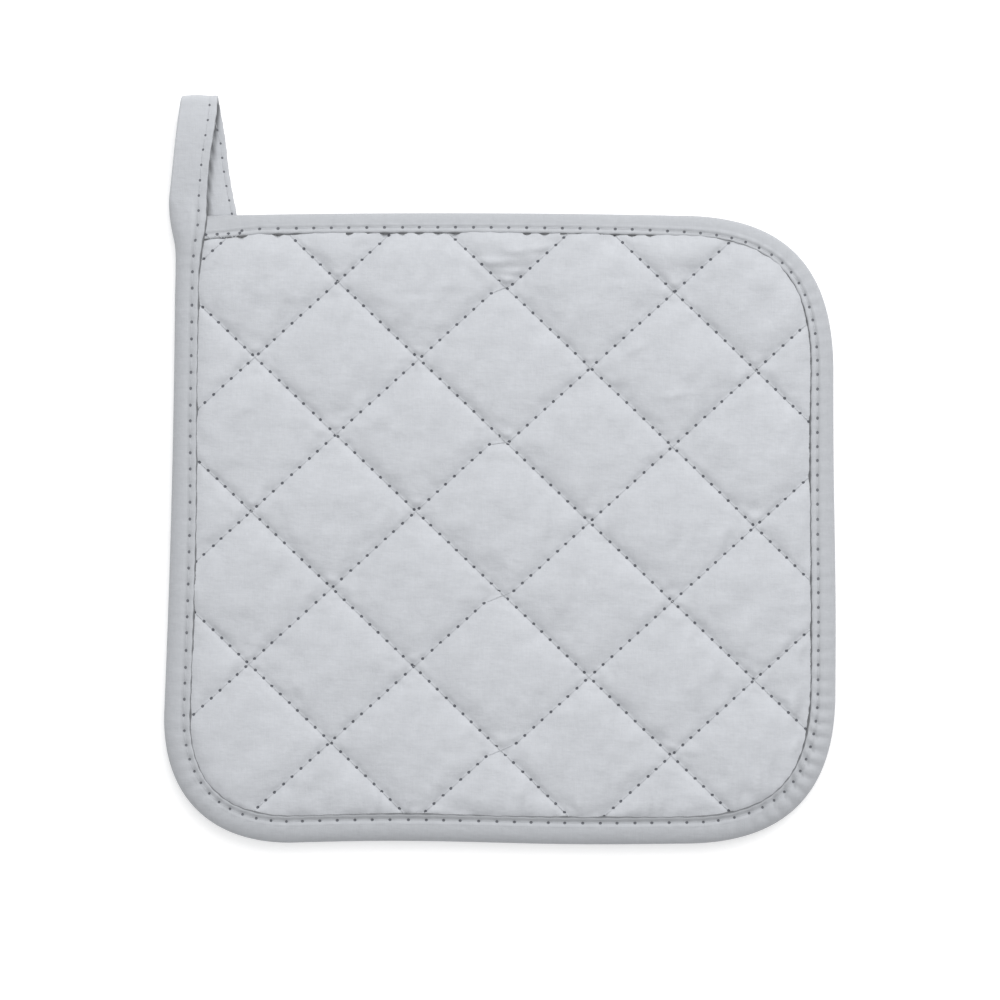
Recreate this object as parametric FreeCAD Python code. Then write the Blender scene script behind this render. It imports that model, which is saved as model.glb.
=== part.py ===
import FreeCAD, Part
import os
from math import radians, sin, cos, tan, atan2, hypot, pi

# Square quilted pot holder with a bound edge and a hanging loop at its upper left corner.
# Millimetres. It lies on its back: +Z out of the front face, +Y towards the loop, +X to the right.
# The origin is at the middle of the whole outline, loop included, on the surface it lies on.

Vec = FreeCAD.Vector

# --- driving dimensions: the pad's outline ---
pad_width = 221.4               # across the lower corners
pad_length = 208.0              # upper edge to lower edge
left_lean = 3.4                 # how far the left side leans in over the pad's length
right_lean = 1.4                # the same on the right side
upper_left_radius = 3.0         # nearly square, under the loop
upper_right_radius = 44.0
lower_right_radius = 43.0
lower_left_radius = 37.0

# --- driving dimensions: the pad's thickness ---
pad_thickness = 10.0            # over the stuffed diamonds
cover_thickness = 0.5           # cotton cover cloth
tape_thickness = 0.7            # binding tape with its edge turned under
edge_core_thickness = 3.4       # covers and wadding pressed flat inside the binding
swell_width = 8.0               # from the binding to the pad's full thickness

# --- driving dimensions: the binding's width on each side ---
binding_width_upper = 6.6
binding_width_right = 8.2
binding_width_lower = 8.9
binding_width_left = 8.6
binding_edge_radius = 2.1       # rolled outer edge
binding_row_setback = 1.8       # needle row from the tape's inner edge
binding_gap = 0.2               # cloth edges to the tape's fold, and tape edge to the swell

# --- driving dimensions: quilting rows ---
rising_angle = 42.25            # rows that climb to the right
falling_angle = 43.75           # rows that fall to the right
rising_count = 7
falling_count = 6
rising_first_inset = 15.7       # first row from the pad's upper left corner, square to the row
rising_last_inset = 59.3        # last row from the lower right corner
falling_first_inset = 53.3      # first row from the upper right corner
falling_last_inset = 62.1       # last row from the lower left corner
groove_half_width = 7.0
rising_groove_depth = 3.3
falling_groove_depth = 2.6      # shallower, so its thread passes over the rising row's
groove_overcut = 1.5            # the cutting prism's size over the groove's own

# --- driving dimensions: threads ---
thread_radius = 0.3
thread_gap = 0.05               # thread to the cloth under it
row_end_gap = 0.3               # end of a quilting row to the binding

# --- driving dimensions: hanging loop ---
loop_reach = 39.1               # from the pad's upper edge to the loop's crease
loop_tape_width = 13.0
loop_tape_thickness = 1.2       # tape folded to four layers
loop_outset = 1.4               # the front strand stands out past the pad's left side
loop_top_shift = 3.3            # the crease lies this far right of the front strand's root
rear_root_shift = 9.8           # the rear strand's root lies this far right of the front's
left_edge_bow = 0.2             # bow of the strands' left edges at mid length
front_waist = 1.0               # hollow of the front strand's right edge at mid length
rear_waist = 0.3                # the same on the rear strand
front_strand_sink = 0.7         # top of the arched front strand below the pad's front face
rear_strand_lift = 0.8          # underside of the sagging rear strand above the back face
root_straight = 4.0             # flat stretch of each strand at its root
loop_gap = 0.3                  # root to the binding
root_fullness = 0.1             # the rolled root stands out past the strands
strand_gap = 0.1                # between the strands where they press together
loop_row_setback = 2.5          # needle row from the loop's right edge
loop_row_width = 0.5
loop_row_start = 5.0            # from the hinge line to the first stitch
tack_length = 8.0               # back-tacked end of the binding seam
tack_from_left = 2.0            # from the left binding's inner edge
tack_setback = 1.0              # from the binding's needle row

# --- worked out ---
mid_z = pad_thickness / 2
edge_half = edge_core_thickness / 2
binding_half = edge_half + tape_thickness
overall_length = pad_length + loop_reach
lower_y = -overall_length / 2
upper_y = lower_y + pad_length
loop_top_y = overall_length / 2
half_width = pad_width / 2
left_x_at_top = -half_width + left_lean
row_length = 2 * (pad_width + overall_length)

UPPER, RIGHT, LOWER, LEFT = range(4)
pad_corners = [
    Vec(left_x_at_top, upper_y, 0),
    Vec(half_width - right_lean, upper_y, 0),
    Vec(half_width, lower_y, 0),
    Vec(-half_width, lower_y, 0),
]
corner_radii = [upper_left_radius, upper_right_radius, lower_right_radius, lower_left_radius]
binding_widths = [binding_width_upper, binding_width_right, binding_width_lower, binding_width_left]


# --- outlines ---

def direction(start, end):
    length = hypot(end.x - start.x, end.y - start.y)
    return Vec((end.x - start.x) / length, (end.y - start.y) / length, 0)


def side_meeting(point_a, dir_a, point_b, dir_b):
    """Where two lines in the XY plane cross."""
    cross = dir_a.x * dir_b.y - dir_a.y * dir_b.x
    gap = point_b - point_a
    along = (gap.x * dir_b.y - gap.y * dir_b.x) / cross
    return point_a + dir_a * along


def inset_corners(insets):
    """The pad's four corners after each side has moved inwards by its own inset."""
    lines = []
    for side in range(4):
        start = pad_corners[side]
        along = direction(start, pad_corners[(side + 1) % 4])
        inward = Vec(along.y, -along.x, 0)
        lines.append((start + inward * insets[side], along))
    return [side_meeting(*lines[side - 1], *lines[side]) for side in range(4)]


def rounded_edges(insets, z):
    """Corner arcs and straight sides of the inset outline, as four (arc, side) pairs."""
    corners = inset_corners(insets)
    arcs = []
    ends = []
    for i, corner in enumerate(corners):
        to_last = direction(corner, corners[i - 1])
        to_next = direction(corner, corners[(i + 1) % 4])
        half_turn = (pi - to_last.getAngle(to_next)) / 2
        inset = (insets[i - 1] + insets[i]) / 2
        radius = max(corner_radii[i] - inset, upper_left_radius / 2)
        setback = radius * tan(half_turn)
        bisector = (to_last + to_next).normalize()
        middle = corner + bisector * (radius / cos(half_turn) - radius)
        lift = Vec(0, 0, z)
        start = corner + to_last * setback + lift
        end = corner + to_next * setback + lift
        arcs.append(Part.Arc(start, middle + lift, end).toShape())
        ends.append((start, end))
    sides = [Part.LineSegment(ends[i][1], ends[(i + 1) % 4][0]).toShape() for i in range(4)]
    return list(zip(arcs, sides))


def outline(insets, z):
    edges = [edge for pair in rounded_edges(insets, z) for edge in pair]
    return Part.Wire(edges)


def outline_block(insets, low_z, high_z):
    return Part.Face(outline(insets, low_z)).extrude(Vec(0, 0, high_z - low_z))


def even(inset):
    return [inset] * 4


def past_binding(distance):
    return [width + distance for width in binding_widths]


def mirrored(shape):
    """The back's twin of a piece on the front, turned over about the pad's middle plane."""
    return shape.mirror(Vec(0, 0, mid_z), Vec(0, 0, 1))


# --- quilting rows ---

def downward(along):
    """Square to a row, towards the pad's lower edge."""
    return Vec(along.y, -along.x, 0)


def row_set(name, slope, count, depth, first_corner, first_inset, last_corner, last_inset):
    """Evenly spaced parallel rows between two opposite corners of the pad."""
    along = Vec(cos(slope), sin(slope), 0)
    first = first_corner.dot(downward(along)) + first_inset
    last = last_corner.dot(downward(along)) - last_inset
    spacing = (last - first) / (count - 1)
    return [(f"{name}_row_{i + 1}", along, first + i * spacing, depth) for i in range(count)]


def quilting_rows():
    """Name, unit direction, distance from the origin and groove depth of each row."""
    upper_left, upper_right, lower_right, lower_left = pad_corners
    rising = row_set(
        "rising", radians(rising_angle), rising_count, rising_groove_depth,
        upper_left, rising_first_inset, lower_right, rising_last_inset)
    falling = row_set(
        "falling", -radians(falling_angle), falling_count, falling_groove_depth,
        upper_right, falling_first_inset, lower_left, falling_last_inset)
    return rising + falling


def row_start(along, offset):
    """A point on the row, well off the pad's left side. Offsets grow towards the lower edge."""
    return downward(along) * offset - along * (row_length / 2)


def groove(along, offset, depth, top_z):
    """V-shaped prism that presses one row of the quilting into the face, carried on above it."""
    rise = Vec(0, 0, depth * groove_overcut)
    aside = downward(along) * (groove_half_width * groove_overcut)
    apex = row_start(along, offset) + Vec(0, 0, top_z - depth)
    section = Part.makePolygon([apex, apex + rise - aside, apex + rise + aside, apex])
    return Part.Face(section).extrude(along * row_length)


# --- cloth layers ---

def quilted_half(lowering):
    """Front half of the stuffed pad from its middle plane up, its face lowered by a cloth's thickness."""
    flange_z = mid_z + edge_half - lowering
    top_z = pad_thickness - lowering
    flange = outline_block(even(tape_thickness + binding_gap), mid_z, flange_z)
    swell = Part.makeLoft([
        outline(past_binding(binding_gap), flange_z),
        outline(past_binding(swell_width), top_z),
    ], True, True)
    grooves = []
    for name, along, offset, depth in quilting_rows():
        grooves.append(groove(along, offset, depth, top_z))
    return flange.fuse(swell).cut(grooves).removeSplitter()


def edge_binding():
    """One folded tape round the edge, over the pressed ends of the covers and the wadding."""
    tape = outline_block(even(0), mid_z - binding_half, mid_z + binding_half)
    rolled = []
    for edge in tape.Edges:
        box = edge.BoundBox
        if box.ZLength < tape_thickness:
            rolled.append(edge)
    tape = tape.makeFillet(binding_edge_radius, rolled)
    window = outline_block(past_binding(0), 0, pad_thickness)
    slot = outline_block(even(tape_thickness), mid_z - edge_half, mid_z + edge_half)
    return tape.cut([window, slot])


# --- threads on the pad ---

def quilting_thread(along, offset, depth):
    """The needle thread of one row, lying along the bottom of its groove."""
    lean = atan2(groove_half_width, depth)
    z = pad_thickness - depth + thread_radius / sin(lean) + thread_gap
    start = row_start(along, offset) + Vec(0, 0, z)
    rod = Part.makeCylinder(thread_radius, row_length, start, along)
    window = outline_block(past_binding(row_end_gap), 0, pad_thickness)
    return rod.common(window)


def binding_thread():
    """The row that holds the binding down, from the loop right round to the loop again."""
    insets = [width - binding_row_setback for width in binding_widths]
    z = mid_z + binding_half + thread_radius + thread_gap
    pairs = rounded_edges(insets, z)
    corner = pairs[UPPER][0]
    begin = Vec(corner.Vertexes[-1].Point)
    edges = [pairs[UPPER][1]]
    for arc, side in pairs[RIGHT:]:
        edges += [arc, side]
    path = Part.Wire(edges)
    ring = Part.Wire(Part.makeCircle(thread_radius, begin, Vec(1, 0, 0)))
    return path.makePipeShell([ring], True, False)


def corner_tack_thread():
    """Back-tacked end of the binding seam, on the upper binding beside the left one."""
    row_corner = inset_corners([width - binding_row_setback for width in binding_widths])[UPPER]
    inner_corner = inset_corners(past_binding(0))[UPPER]
    z = mid_z + binding_half + thread_radius + thread_gap
    start = Vec(inner_corner.x + tack_from_left, row_corner.y - tack_setback, z)
    return Part.makeCylinder(thread_radius, tack_length, start, Vec(1, 0, 0))


# --- hanging loop ---

root_radius = loop_tape_thickness + strand_gap / 2 + root_fullness
hinge_y = upper_y + loop_gap + root_radius
crease_radius = loop_tape_thickness + strand_gap / 2
crease_y = loop_top_y - crease_radius
front_root_left = left_x_at_top - loop_outset
crest_y = (hinge_y + crease_y) / 2
front_crest_z = pad_thickness - front_strand_sink
rear_crest_z = rear_strand_lift


def strand_profile(inner_z, bulge_z, thickness):
    """One strand seen from the side: its inner face from root to crease, then its outer face."""
    bend_y = hinge_y + root_straight
    lower = [
        Vec(0, hinge_y, inner_z),
        Vec(0, bend_y, inner_z),
        Vec(0, crest_y, bulge_z),
        Vec(0, crease_y, inner_z),
    ]
    upper = [point + Vec(0, 0, thickness) for point in lower]
    edges = []
    for line in (lower, upper):
        edges.append(Part.LineSegment(line[0], line[1]).toShape())
        edges.append(Part.Arc(line[1], line[2], line[3]).toShape())
    edges.append(Part.LineSegment(lower[0], upper[0]).toShape())
    edges.append(Part.LineSegment(lower[3], upper[3]).toShape())
    return Part.Face(Part.Wire(Part.__sortEdges__(edges)))


def across(profile):
    """A side profile swept right across the loop in X."""
    low_x = front_root_left - loop_tape_width
    profile.translate(Vec(low_x, 0, 0))
    return profile.extrude(Vec(4 * loop_tape_width, 0, 0))


def end_round(y, radius):
    """Rounded end of the strands, where they turn about the root or fold at the crease."""
    low_x = front_root_left - loop_tape_width
    return Part.makeCylinder(radius, 4 * loop_tape_width, Vec(low_x, y, mid_z), Vec(1, 0, 0))


def strand_plan(root_left, waist, left_margin, right_margin):
    """One strand seen from the front, less a margin along each edge, from root to crease."""
    low_y = hinge_y - root_radius
    top_left = front_root_left + loop_top_shift
    left_low = Vec(root_left + left_margin, low_y, 0)
    left_high = Vec(top_left + left_margin, loop_top_y, 0)
    right_low = Vec(root_left + loop_tape_width - right_margin, low_y, 0)
    right_high = Vec(top_left + loop_tape_width - right_margin, loop_top_y, 0)
    left_bow = waist if left_margin > 0 else left_edge_bow
    left_middle = (left_low + left_high) / 2 - Vec(left_bow, 0, 0)
    right_middle = (right_low + right_high) / 2 - Vec(waist, 0, 0)
    edges = [
        Part.Arc(left_low, left_middle, left_high).toShape(),
        Part.LineSegment(left_high, right_high).toShape(),
        Part.Arc(right_high, right_middle, right_low).toShape(),
        Part.LineSegment(right_low, left_low).toShape(),
    ]
    plan = Part.Face(Part.Wire(edges))
    plan.translate(Vec(0, 0, -pad_thickness))
    return plan.extrude(Vec(0, 0, 3 * pad_thickness))


def front_plan(left_margin=0.0, right_margin=0.0):
    return strand_plan(front_root_left, front_waist, left_margin, right_margin)


def rear_plan(left_margin=0.0, right_margin=0.0):
    return strand_plan(front_root_left + rear_root_shift, rear_waist, left_margin, right_margin)


def hanging_loop():
    """The binding's free tail: up from the corner, over a crease and back down to the upper edge."""
    inner = strand_gap / 2
    front_side = strand_profile(mid_z + inner, front_crest_z - loop_tape_thickness, loop_tape_thickness)
    rear_side = strand_profile(mid_z - inner, rear_crest_z + loop_tape_thickness, -loop_tape_thickness)
    ends = [end_round(hinge_y, root_radius), end_round(crease_y, crease_radius)]
    front = across(front_side).fuse(ends).common(front_plan())
    rear = across(rear_side).fuse(ends).common(rear_plan())
    return front.fuse(rear).removeSplitter()


def loop_thread(name):
    """The row that closes the folded tape along its right edge, on one strand's outer face."""
    outer = strand_gap / 2 + loop_tape_thickness + thread_gap
    left_margin = loop_tape_width - loop_row_setback - loop_row_width
    if name == "front":
        side = strand_profile(mid_z + outer, front_crest_z + thread_gap, loop_row_width)
        plan = front_plan(left_margin, loop_row_setback)
    else:
        side = strand_profile(mid_z - outer, rear_crest_z - thread_gap, -loop_row_width)
        plan = rear_plan(left_margin, loop_row_setback)
    row = across(side).common(plan)
    corner = Vec(-pad_width, hinge_y, -pad_thickness)
    root_end = Part.makeBox(pad_width, loop_row_start, 3 * pad_thickness, corner)
    return row.cut(root_end)


# --- write every piece ---

def write(name, shape):
    solids = shape.Solids
    if len(solids) == 1:
        shape = solids[0]
    print(f"{name}: {len(solids)} solid(s), {shape.Volume:.1f} mm3, valid {shape.isValid()}")
    shape.exportStep(f"parts/{name}.step")


def main():
    os.makedirs("parts", exist_ok=True)
    front_wadding = quilted_half(cover_thickness)
    front_cover = quilted_half(0).cut(front_wadding)
    write("front_cover", front_cover)
    write("back_cover", mirrored(front_cover))
    write("front_wadding", front_wadding)
    write("back_wadding", mirrored(front_wadding))
    write("edge_binding", edge_binding())
    for name, along, offset, depth in quilting_rows():
        thread = quilting_thread(along, offset, depth)
        write(f"{name}_needle_thread", thread)
        write(f"{name}_bobbin_thread", mirrored(thread))
    write("binding_needle_thread", binding_thread())
    write("binding_bobbin_thread", mirrored(binding_thread()))
    write("corner_tack_thread", corner_tack_thread())
    write("hanging_loop", hanging_loop())
    write("loop_front_thread", loop_thread("front"))
    write("loop_rear_thread", loop_thread("rear"))


main()
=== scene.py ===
from math import cos, pi, radians, sin
import bmesh
import bpy
import numpy as np
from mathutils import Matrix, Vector
from mathutils.bvhtree import BVHTree
from mathutils.kdtree import KDTree


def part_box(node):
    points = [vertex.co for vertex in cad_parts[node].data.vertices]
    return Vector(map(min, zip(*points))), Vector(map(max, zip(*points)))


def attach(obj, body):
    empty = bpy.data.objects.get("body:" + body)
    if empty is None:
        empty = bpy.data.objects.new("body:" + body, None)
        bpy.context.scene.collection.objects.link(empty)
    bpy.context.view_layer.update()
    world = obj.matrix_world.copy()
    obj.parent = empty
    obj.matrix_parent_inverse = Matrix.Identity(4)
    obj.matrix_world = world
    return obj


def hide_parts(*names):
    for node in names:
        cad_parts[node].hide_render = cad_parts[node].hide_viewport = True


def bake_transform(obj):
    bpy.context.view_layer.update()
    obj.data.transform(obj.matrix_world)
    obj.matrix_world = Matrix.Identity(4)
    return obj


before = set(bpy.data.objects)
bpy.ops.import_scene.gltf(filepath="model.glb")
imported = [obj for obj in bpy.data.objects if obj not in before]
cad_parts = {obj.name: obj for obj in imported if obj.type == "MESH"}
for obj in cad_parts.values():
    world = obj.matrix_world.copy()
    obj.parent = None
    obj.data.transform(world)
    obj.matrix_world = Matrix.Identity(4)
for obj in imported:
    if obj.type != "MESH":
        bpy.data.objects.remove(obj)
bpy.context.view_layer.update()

mm = 0.001

# A square quilted pot holder lying on its back. Metres, in the CAD frame: +Z out of the front
# face, +Y towards the hanging loop, +X to the right.

# --- places read from the frame ---
PAD_LOW, PAD_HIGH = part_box("edge_binding")
MID_Z = (PAD_LOW.z + PAD_HIGH.z) / 2
FACE_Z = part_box("front_cover")[1].z

# --- outline: the four sides' meeting points, corner set-backs and the sides' bows ---
UPPER_Y = PAD_HIGH.y - 0.7 * mm
LOWER_Y = PAD_LOW.y
HALF_WIDTH = (PAD_HIGH.x - PAD_LOW.x) / 2
CORNERS = np.array([
    (-HALF_WIDTH + 3.0 * mm, UPPER_Y),
    (HALF_WIDTH - 0.4 * mm, UPPER_Y + 0.35 * mm),
    (HALF_WIDTH + 0.9 * mm, LOWER_Y),
    (-HALF_WIDTH - 1.7 * mm, LOWER_Y + 0.5 * mm),
])
SETBACKS = np.array([0, 50.5, 50.5, 42.5]) * mm     # where each corner's curve leaves the sides
FULLNESS = [0, 0.68, 0.668, 0.632]                  # 0.55 is a round corner, 1 a sharp one
BOWS = np.array([1.0, 0.1, -0.25, -0.85]) * mm      # upper, right, lower and left side
SWAYS = np.array([0.0, -0.18, 0.49, 0.0]) * mm      # out in the side's first half, in after it

# --- binding ---
BINDING_WIDTHS = np.array([6.5, 8.0, 8.9, 8.6]) * mm
BINDING_HALF = 2.4 * mm         # from the middle plane to the binding's face
TAPE = 0.6 * mm                 # tape with its edge turned under
ROLL = 5.2 * mm                 # depth of the rolled outer edge
ROW_START = 22 * mm             # first hole of the binding's row, from the upper left corner
PIT = 0.47 * mm                 # needle hole radius

# --- what changes along the tape: shares of the edge's length, clockwise from the upper left
# corner, paired with values; past 1 comes the loop ---
PITCHES = ([0, 0.22, 0.28, 0.46, 0.52, 0.70, 0.77, 0.97, 1.01, 1.055, 1.06],
           np.array([5.85, 5.85, 4.8, 4.8, 5.75, 5.75, 5.4, 5.4, 5.0, 5.0, 4.5]) * mm)
ROW_SETBACKS = ([0, 0.19, 0.22, 0.245, 0.275, 0.33, 0.45, 0.52, 0.72, 0.8, 0.97,
                 *(1 + np.array([0.0, 0.015, 0.06, 0.07, 0.11]))],
                np.array([1.7, 1.7, 1.0, 1.05, 1.65, 2.2, 2.2, 1.75, 1.75, 2.0, 2.0,
                          2.6, 2.5, 2.4, 1.6, 1.4]) * mm)
PIT_SHRINK = ([0.98, 1.03], [1.0, 0.78])
# how far the cloth between the stitches and the inner edge stands up, in millimetres
MARGIN_TILT = ([0, 0.2, 0.3, 0.45, 0.53, 0.70, 0.78, 0.97, 1.03],
               [0.08, 0.08, 0.50, 0.50, 0.75, 0.75, 0.45, 0.30, 0.05])
LIP_REACH = ([0, 0.19, 0.22, 0.245, 0.27, 0.3, 0.45, 0.8, 1.0],
             np.array([0.30, 0.30, 0.12, 0.12, 0.40, 0.50, 0.55, 0.50, 0.45]) * mm)
GAP_STRENGTH = ([0, 0.19, 0.22, 0.26, 0.3, 0.45, 0.52, 0.72, 0.8, 1.0],
                [0.9, 0.9, 0.15, 0.15, 0.4, 0.3, 0.1, 0.1, 0.2, 0.2])
# painted shade of the inner edge, beside the stitches and of the rolled outer edge, 0 to 1
GROOVE_SHADE = ([0.45, 0.53, 0.70, 0.78], [0.10, 0.42, 0.42, 0.10])
STITCH_SHADE = ([0.0, 0.2, 0.3, 0.45, 0.53, 0.7, 0.8, 0.98],
                [0.12, 0.12, 0.26, 0.26, 0.1, 0.1, 0.26, 0.26])
ROLLED_SHADE = ([0, 0.2, 0.28, 0.45, 0.52, 0.7, 0.8, 0.96],
                [0.2, 0.2, 0.15, 0.15, 0.24, 0.24, 0.17, 0.17])

# --- quilting: each row's offset square to itself from the origin, its bow at 100 mm from its
# middle, and its step to the next needle place where it meets the middle of the pad ---
RISING_ANGLE = radians(42.25)
FALLING_ANGLE = radians(-43.75)
RISING_ROWS = np.array([(-117.3, 0.0, 0.0), (-82.0, 0.2, 0.0), (-45.1, 0.0, 2.5), (-8.6, 0.2, 3.7),
                        (29.0, -0.2, 3.6), (67.0, -0.2, 3.4), (107.7, 0.0, 0.0)]) * mm
FALLING_ROWS = np.array([(-82.2, 0.5, 0.0), (-45.0, 0.6, 0.0), (-8.0, 0.0, 0.0),
                         (29.0, 0.0, 0.0), (66.5, 0.4, 0.0), (103.5, 0.5, 0.0)]) * mm
STEP_LOW, STEP_HIGH = -2.6 * mm, 2.8 * mm   # X over which the rising rows step
ROW_SPACING = 37.5 * mm
QUILT_STITCH = 3.88 * mm
VALLEY_Z = MID_Z + 1.9 * mm     # cover at the rows
BORDER_Z = MID_Z + 1.35 * mm    # cover inside the binding
COVER = 0.4 * mm
THREAD = 0.16 * mm              # thread radius

# --- cloth simulation, done 40 times larger because Blender's forces suit metres ---
SIMULATION_SCALE = 40
SIMULATION_FRAMES = 24
CLOTH_SETTINGS = {
    "quality": 6, "mass": 0.3, "air_damping": 2, "bending_stiffness": 0.4,
    "tension_stiffness": 20, "compression_stiffness": 20, "shear_stiffness": 8,
    "tension_damping": 12, "compression_damping": 12, "shear_damping": 12,
    "shrink_min": -0.008, "use_pressure": True, "uniform_pressure_force": 4, "pressure_factor": 0,
}
PUFF = 2.7 * mm                 # height of the wadding's push in the middle of a diamond


# --- mesh helpers ---

def mesh_piece(name, points, faces, materials, face_material=None):
    mesh = bpy.data.meshes.new(name)
    mesh.from_pydata([tuple(p) for p in points], [], [tuple(int(i) for i in f) for f in faces])
    mesh.update()
    mesh.polygons.foreach_set("use_smooth", [True] * len(mesh.polygons))
    for material in materials:
        mesh.materials.append(material)
    if face_material is not None:
        mesh.polygons.foreach_set("material_index", np.asarray(face_material, np.int32))
    piece = bpy.data.objects.new(name, mesh)
    bpy.context.collection.objects.link(piece)
    return piece


def outward_faces(piece):
    """Turn every face of a closed mesh to look outwards."""
    work = bmesh.new()
    work.from_mesh(piece.data)
    bmesh.ops.recalc_face_normals(work, faces=work.faces)
    work.to_mesh(piece.data)
    work.free()


def write_shade(piece, values):
    """Store the painted shade at each point: how much darker the material makes it; below 0 it is a
    painted highlight.
    """
    piece.data.attributes.new("painted_shade_and_highlight", "FLOAT", "POINT").data.foreach_set("value", values)


def boundary_edges(faces):
    """Edges used by one face only, in that face's direction."""
    faces = np.asarray(faces)
    edges = np.concatenate([faces[:, [k, (k + 1) % faces.shape[1]]] for k in range(faces.shape[1])])
    keys = np.sort(edges, axis=1)
    _, first, count = np.unique(keys, axis=0, return_index=True, return_counts=True)
    return edges[first[count == 1]]


def closed_shell(top, bottom, faces):
    """Points and faces of the closed body between two surfaces with the same layout."""
    n = len(top)
    faces = np.asarray(faces)
    rim = boundary_edges(faces)
    walls = np.stack([rim[:, 1], rim[:, 0], rim[:, 0] + n, rim[:, 1] + n], axis=1)
    return np.concatenate([top, bottom]), np.concatenate([faces, faces[:, ::-1] + n, walls])


def smoothstep(x):
    x = np.clip(x, 0, 1)
    return x * x * (3 - 2 * x)


def noise(points, size, seed):
    """Smooth random field over XY, about -1 to 1, with bumps about size across."""
    field = np.random.default_rng(seed).uniform(-1, 1, (256, 256))
    p = np.asarray(points)[..., :2] / size + 97.0
    cell = np.floor(p).astype(int)
    f = smoothstep(p - cell)
    ix, iy = cell[..., 0] % 255, cell[..., 1] % 255
    low = field[ix, iy] * (1 - f[..., 0]) + field[ix + 1, iy] * f[..., 0]
    high = field[ix, iy + 1] * (1 - f[..., 0]) + field[ix + 1, iy + 1] * f[..., 0]
    return low * (1 - f[..., 1]) + high * f[..., 1]


def line_noise(s, size, seed):
    """Smooth random values along a line."""
    return noise(np.stack([s, 0 * s], axis=-1), size, seed)


# --- outline ---

def bezier(a, b, c, d, t):
    t = t[:, None]
    return (1 - t) ** 3 * a + 3 * (1 - t) ** 2 * t * b + 3 * (1 - t) * t * t * c + t ** 3 * d


def outline_curve():
    """The pad's outer edge, clockwise from the upper left corner, as dense points."""
    ends = [(CORNERS[0], CORNERS[0])]
    for i in (1, 2, 3):
        sides = CORNERS[[i - 1, (i + 1) % 4]] - CORNERS[i]
        ends.append([CORNERS[i] + side / np.linalg.norm(side) * SETBACKS[i] for side in sides])
    points = [CORNERS[:1]]
    for i, corner in enumerate(CORNERS):
        start, begin = ends[i]
        if i > 0:
            handles = [end + (corner - end) * FULLNESS[i] for end in ends[i]]
            points.append(bezier(start, *handles, begin, np.linspace(0, 1, 200)[1:]))
        finish = ends[(i + 1) % 4][0]
        t = np.linspace(0, 1, 400)[1:, None]
        along = (finish - begin) / np.linalg.norm(finish - begin)
        outward = np.array([-along[1], along[0]])
        bow = BOWS[i] * 4 * t * (1 - t) + SWAYS[i] * np.sin(2 * pi * t)
        points.append(begin + (finish - begin) * t + outward * bow)
    return np.concatenate(points)


OUTLINE = outline_curve()
STEPS = np.linalg.norm(np.diff(OUTLINE, axis=0), axis=1)
OUTLINE_S = np.concatenate([[0], np.cumsum(STEPS)])
PERIMETER = OUTLINE_S[-1]


def at_outline(s):
    """Point and inward direction on the pad's outer edge, s along it from the upper left corner."""
    s = np.asarray(s, float)
    reach = 1.5 * mm
    place, ahead, behind = (
        np.stack([np.interp(at, OUTLINE_S, OUTLINE[:, k]) for k in range(2)], axis=-1)
        for at in (s, s + reach, s - reach))
    along = ahead - behind
    along /= np.linalg.norm(along, axis=-1, keepdims=True)
    return place, np.stack([along[..., 1], -along[..., 0]], axis=-1)


def by_share(s, table):
    """A table's value at s along the edge; it pairs shares of the edge's length with values."""
    return np.interp(np.asarray(s) / PERIMETER, *table)


def width_at(s):
    """The binding's width, changing gently from side to side and growing at the loop's root."""
    upper, right, lower, left = BINDING_WIDTHS
    shares = [0, 0.015, 0.035, 0.12, 0.22, 0.27, 0.32, 0.38, 0.44, 0.55,
              0.71, 0.8, 0.875, 0.92, 0.975, 1.0]
    widths = [upper + 1.8 * mm, upper + 1.3 * mm, upper, upper, upper + 0.2 * mm, upper + 0.4 * mm,
              right - 0.5 * mm, right, right + 0.1 * mm, lower,
              lower, left, left - 0.2 * mm, left - 0.9 * mm, left - 0.8 * mm, left + 3.4 * mm]
    return by_share(s, (shares, widths))


def edge_distance(points):
    """Distance from XY points to the outline, in chunks, and the outline place nearest to each."""
    coarse = OUTLINE[::4]
    s = OUTLINE_S[::4]
    distance = np.empty(len(points))
    place = np.empty(len(points))
    for start in range(0, len(points), 2000):
        part = points[start:start + 2000, None, :2] - coarse[None]
        squared = (part ** 2).sum(-1)
        nearest = squared.argmin(1)
        distance[start:start + 2000] = np.sqrt(squared[np.arange(len(nearest)), nearest])
        place[start:start + 2000] = s[nearest]
    return distance, place


def inside_outline(points):
    x, y = points[:, 0, None], points[:, 1, None]
    ring = OUTLINE[::4]
    x0, y0 = ring[:, 0], ring[:, 1]
    x1, y1 = np.roll(x0, -1), np.roll(y0, -1)
    hit = np.zeros(len(points), bool)
    for start in range(0, len(points), 2000):
        part = slice(start, start + 2000)
        across = (y0 > y[part]) != (y1 > y[part])
        with np.errstate(divide="ignore", invalid="ignore"):
            cut = x0 + (y[part] - y0) / (y1 - y0) * (x1 - x0)
        hit[part] = (across & (x[part] < cut)).sum(1) % 2 == 1
    return hit


# --- quilting lattice: row numbers as coordinates, so that every row runs along mesh edges ---

def row_offsets(rows, number, along, x):
    """Offset of row number (any real number, rows count from 1) at a distance along the row."""
    count = len(rows)
    numbers = np.arange(1, count + 1)
    middle = np.interp(number, numbers, rows[:, 0])
    middle = middle + np.clip(number - count, 0, None) * ROW_SPACING
    middle = middle - np.clip(1 - number, 0, None) * ROW_SPACING
    bow = np.interp(number, numbers, rows[:, 1])
    step = np.interp(number, numbers, rows[:, 2]) * smoothstep((x - STEP_LOW) / (STEP_HIGH - STEP_LOW))
    return middle + bow * (along / (100 * mm)) ** 2 + step


def directions(angle):
    along = np.array([cos(angle), sin(angle)])
    return along, np.array([along[1], -along[0]])


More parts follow.
